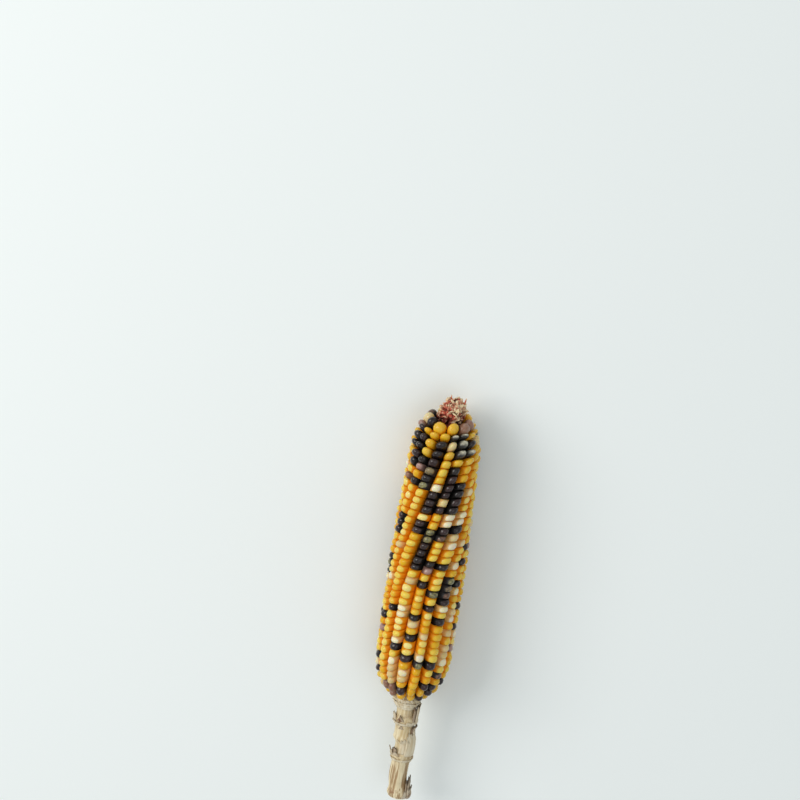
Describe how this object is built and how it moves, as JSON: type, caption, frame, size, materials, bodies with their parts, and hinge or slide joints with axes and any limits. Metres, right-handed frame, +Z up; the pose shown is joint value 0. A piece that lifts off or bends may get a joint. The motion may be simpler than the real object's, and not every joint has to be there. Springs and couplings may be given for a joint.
{
  "type": "dried ornamental corn cob",
  "caption": "Dried ornamental corn cob with rows of yellow, cream and dark kernels, a chaff tuft at the tip and a jointed shank with torn husk stubs.",
  "frame": {"origin": "centre of the footprint of the lying cob, on the surface that it rests on", "axes": "+Y along the cob from the cut end of the shank to the tip, +Z up, +X across"},
  "size_m": [0.041, 0.224, 0.0405],
  "materials": {
    "kernel": "dry flint kernels: glossy translucent skin, yellow, cream and purple-black grains mixed along the rows",
    "cob": "dry pithy cob, matte",
    "chaff": "dry papery chaff, red-brown and cream",
    "shank": "dry stalk, fibrous along its length, satin",
    "husk": "torn dry husk, fibrous, matte"
  },
  "bodies": {
    "root": {"cob_core": "cob", "kernel_row_01": "kernel", "kernel_row_02": "kernel", "kernel_row_03": "kernel", "kernel_row_04": "kernel", "kernel_row_05": "kernel", "kernel_row_06": "kernel", "kernel_row_07": "kernel", "kernel_row_08": "kernel", "kernel_row_09": "kernel", "kernel_row_10": "kernel", "kernel_row_11": "kernel", "kernel_row_12": "kernel", "kernel_row_13": "kernel", "kernel_row_14": "kernel", "kernel_row_15": "kernel", "kernel_row_16": "kernel", "tip_chaff": "chaff", "shank": "shank", "husk_collar_top": "husk", "husk_flap": "husk", "husk_collar_upper": "husk", "husk_sheath": "husk", "husk_curl": "husk", "husk_collar_lower": "husk", "husk_spur": "husk"}
  },
  "joints": []
}
